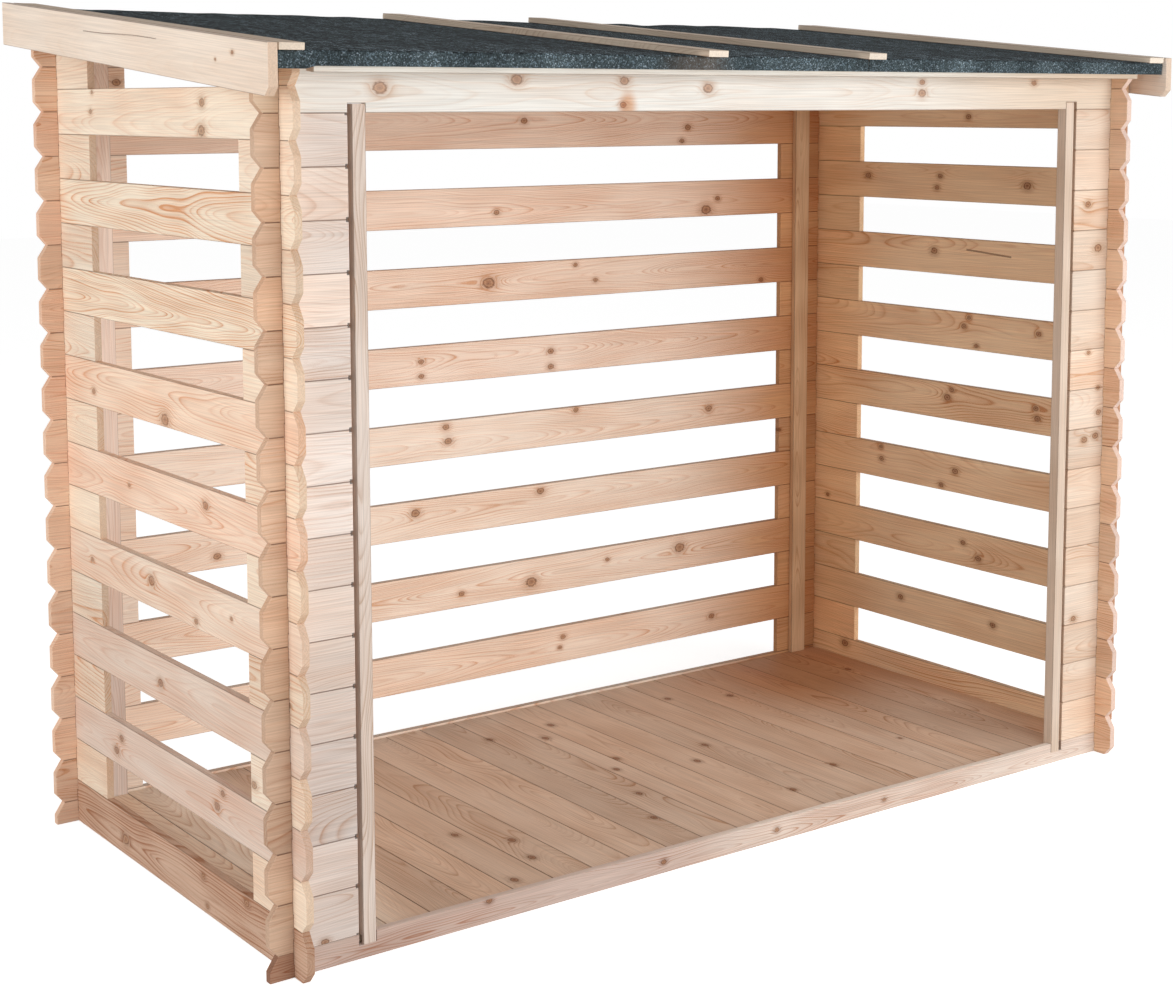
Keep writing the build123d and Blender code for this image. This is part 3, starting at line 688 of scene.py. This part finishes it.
def felt_strip(strip, low_x, high_x):
    """A strip of felt: flat under its battens, a little wavy between them and most at
    the rear edge, and folded down over both eaves."""
    bpy.ops.object.select_all(action="DESELECT")
    middle = X * (low_x + high_x) / 2 + ROOF_RUN * (FELT_FRONT + FELT_REAR) / 2 + ROOF_UP * FELT_TOP
    bpy.ops.mesh.primitive_grid_add(x_subdivisions=round((high_x - low_x) / MESH_CELL),
                                    y_subdivisions=MESH_ROWS, size=1.0, location=middle,
                                    rotation=(ROOF_SLOPE, 0, 0))
    sheet = bpy.context.object
    sheet.scale = (high_x - low_x, FELT_REAR - FELT_FRONT, 1)
    bpy.ops.object.transform_apply(location=True, rotation=True, scale=True)
    sheet.name = f"{strip}_roof_felt_sheet"
    loose = sheet.vertex_groups.new(name="loose")
    for vertex in sheet.data.vertices:
        from_batten = min(abs(vertex.co.x - x) for x in BATTEN_MIDDLES)
        free = min(1.0, max(0.0, (from_batten - FLAT_REACH) / LOOSE_REACH))
        rear = min(1.0, max(0.0, 1 - (FELT_REAR - vertex.co.dot(ROOF_RUN)) / REAR_REACH))
        front = min(1.0, (vertex.co.dot(ROOF_RUN) - FELT_FRONT) / FRONT_REACH)
        loose.add([vertex.index], free * max(WAVE_SHARE * front, rear), "REPLACE")
    for end in (FELT_FRONT, FELT_REAR):
        pick(sheet.data, lambda co: abs(co.dot(ROOF_RUN) - end) < ON_LINE
             and abs(co.dot(ROOF_UP) - FELT_TOP) < ON_LINE)
        bpy.ops.object.mode_set(mode="EDIT")
        for _ in range(FOLD_ROWS):
            bpy.ops.mesh.extrude_region_move(
                TRANSFORM_OT_translate={"value": -ROOF_UP * FOLD / FOLD_ROWS})
        bpy.ops.object.mode_set(mode="OBJECT")
    if strip == "left":
        pick(sheet.data, lambda co: co.x < EAVES_BATTEN_END
             and co.dot(ROOF_RUN) < FELT_FRONT + ON_LINE
             and co.dot(ROOF_UP) < FELT_TOP - FOLD + 2 * ON_LINE)
        bpy.ops.object.mode_set(mode="EDIT")
        bpy.ops.transform.translate(value=-ROOF_UP * LOWER_BY)
        bpy.ops.object.mode_set(mode="OBJECT")
    bpy.ops.object.mode_set(mode="EDIT")
    bpy.ops.mesh.select_all(action="SELECT")
    bpy.ops.mesh.normals_make_consistent(inside=False)
    bpy.ops.object.mode_set(mode="OBJECT")
    lift = sheet.modifiers.new("waves", "DISPLACE")
    lift.texture, lift.strength, lift.mid_level = waves, WAVE_HEIGHT, 0.3
    lift.direction, lift.vertex_group = "Z", "loose"
    soft = sheet.modifiers.new("soft_folds", "BEVEL")
    soft.width, soft.segments = FOLD_ROUNDING, 4
    soft.limit_method, soft.angle_limit = "ANGLE", math.radians(60)
    thick = sheet.modifiers.new("thickness", "SOLIDIFY")
    thick.thickness, thick.offset = FELT_THICKNESS, -1
    for modifier in (lift, soft, thick):
        bpy.ops.object.modifier_apply(modifier=modifier.name)
    bpy.ops.object.shade_smooth_by_angle(angle=math.radians(35))
    sheet.data.materials.append(felt)
    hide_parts(f"{strip}_roof_felt")
    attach(sheet, "root")


felt_strip("left", -1.1737, -0.2163)
felt_strip("middle", -0.2157, 0.2150)
felt_strip("right", 0.2175, 1.1737)


# ------------------------------------------------------ floor, light, camera


def looked_at(tree):
    """1 for a ray from the camera, a reflection or a look through glass, else 0."""
    path = add(tree, "LightPath").outputs
    seen = add(tree, "Math", {0: path["Is Camera Ray"], 1: path["Is Glossy Ray"]},
               operation="MAXIMUM").outputs[0]
    return add(tree, "Math", {0: seen, 1: path["Is Transmission Ray"]},
               operation="MAXIMUM").outputs[0]


stage_material = bpy.data.materials.new("studio_floor")
stage_material.use_nodes = True
tree = stage_material.node_tree
tree.nodes.clear()
seen = looked_at(tree)
matt = add(tree, "BsdfDiffuse", {"Color": linear("#E8E8E8")}).outputs[0]
glow = add(tree, "Emission", {"Color": linear("#FFFFFF"), "Strength": 0.7}).outputs[0]
both = add(tree, "AddShader", {0: matt, 1: glow}).outputs[0]
shown = add(tree, "MixShader", {0: seen, 1: matt, 2: both}).outputs[0]
add(tree, "OutputMaterial", {"Surface": shown})
bpy.ops.object.select_all(action="DESELECT")
# half a millimetre down, clear of the boards' undersides
bpy.ops.mesh.primitive_plane_add(size=40.0, location=(0, 0, -0.0005))
ground = bpy.context.object
ground.name = "studio_floor"
ground.data.materials.append(stage_material)

world = bpy.data.worlds.new("studio")
bpy.context.scene.world = world
world.use_nodes = True
tree = world.node_tree
tree.nodes.clear()
seen = looked_at(tree)
dim = add(tree, "Background", {"Color": linear("#FFFFFF"), "Strength": 0.35}).outputs[0]
white = add(tree, "Background", {"Color": linear("#FFFFFF"), "Strength": 1.0}).outputs[0]
sky = add(tree, "MixShader", {0: seen, 1: dim, 2: white}).outputs[0]
add(tree, "OutputWorld", {"Surface": sky})


def softbox(name, place, aim, width, height, watts):
    """A large flat lamp, which gives the soft light of a photographer's box."""
    lamp = bpy.data.lights.new(name, "AREA")
    lamp.shape, lamp.size, lamp.size_y = "RECTANGLE", width, height
    lamp.energy = watts
    stand = bpy.data.objects.new(name, lamp)
    stand.location = place
    stand.rotation_euler = (Vector(aim) - Vector(place)).to_track_quat("-Z", "Y").to_euler()
    bpy.context.scene.collection.objects.link(stand)


softbox("front_softbox", (0.6, -6.0, 1.6), (0.3, 0, 0.9), 4.5, 2.6, 147)
softbox("right_softbox", (4.0, -5.4, 1.8), (0, 0, 0.9), 3.0, 2.6, 108)
softbox("left_softbox", (-6.0, -0.6, 1.8), (0, 0, 0.9), 3.5, 2.6, 135)
softbox("top_softbox", (0.0, -1.5, 5.5), (0, 0, 0.5), 4.0, 3.0, 22)

# At eye height, placed by least squares on the boards' corners
camera_data = bpy.data.cameras.new("camera")
camera_data.lens, camera_data.sensor_width = 62.3, 36.0
camera_data.shift_x, camera_data.shift_y = 0.0015, -0.1488
camera = bpy.data.objects.new("camera", camera_data)
camera.location = (-2.7935, -3.7366, 1.6)
camera.rotation_euler = (math.radians(83.7697), math.radians(0.1052), math.radians(-36.0244))
bpy.context.scene.collection.objects.link(camera)
bpy.context.scene.camera = camera
bpy.context.scene.view_settings.view_transform = "Standard"
